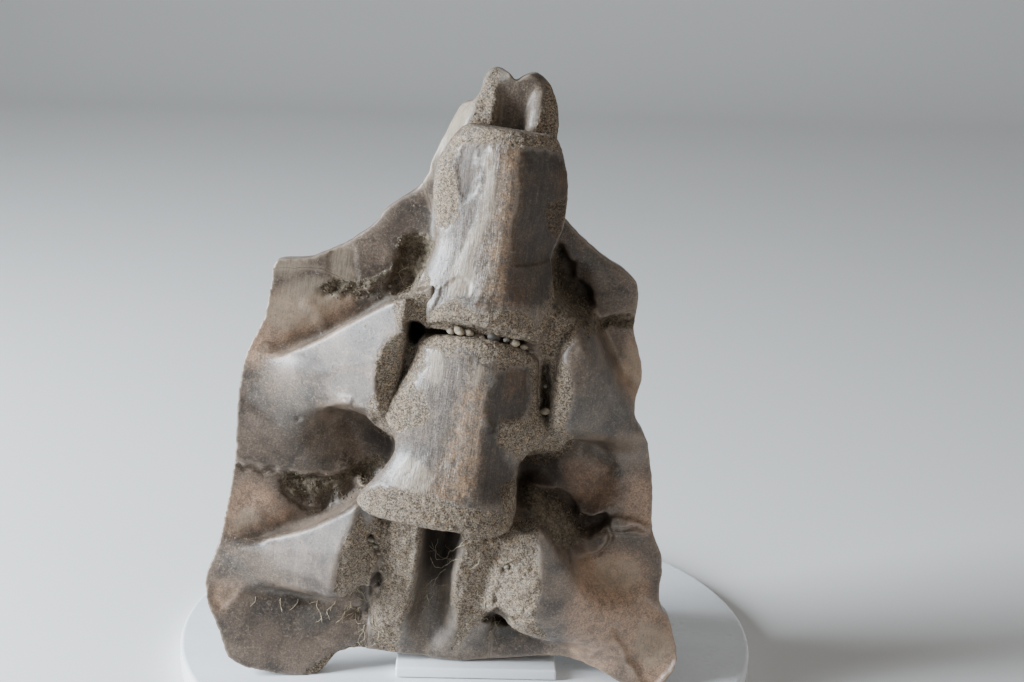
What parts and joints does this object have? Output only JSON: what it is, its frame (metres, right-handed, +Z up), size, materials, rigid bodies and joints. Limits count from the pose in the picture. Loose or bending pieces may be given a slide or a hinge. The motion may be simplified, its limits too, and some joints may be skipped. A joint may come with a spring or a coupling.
{
  "type": "fossil turtle shell on stand",
  "caption": "Fossil piece of a large sea turtle's shell seen from inside, with backbone, rib heads and broken edges, leaning on a round white display stand.",
  "frame": {"origin": "centre of the round base's underside, where the stand rests on a table", "axes": "+Z up along the shell's length, -Y towards the viewer of its inner side, +X to that viewer's right"},
  "size_m": [0.25, 0.25, 0.2606],
  "materials": {
    "bone_plate": "satin",
    "bone_backbone": "satin",
    "bone_arch": "matte",
    "stand_white": "gloss"
  },
  "bodies": {
    "root": {"centrum_upper": "bone_backbone", "centrum_lower": "bone_backbone", "neural_top": "bone_arch", "neural_middle": "bone_arch", "neural_bottom": "bone_arch", "costal_left_top": "bone_plate", "costal_left_middle": "bone_plate", "costal_left_bottom": "bone_plate", "costal_right_top": "bone_plate", "costal_right_middle": "bone_plate", "costal_right_bottom": "bone_plate", "stand_disc": "stand_white", "stand_prop": "stand_white"}
  },
  "joints": []
}
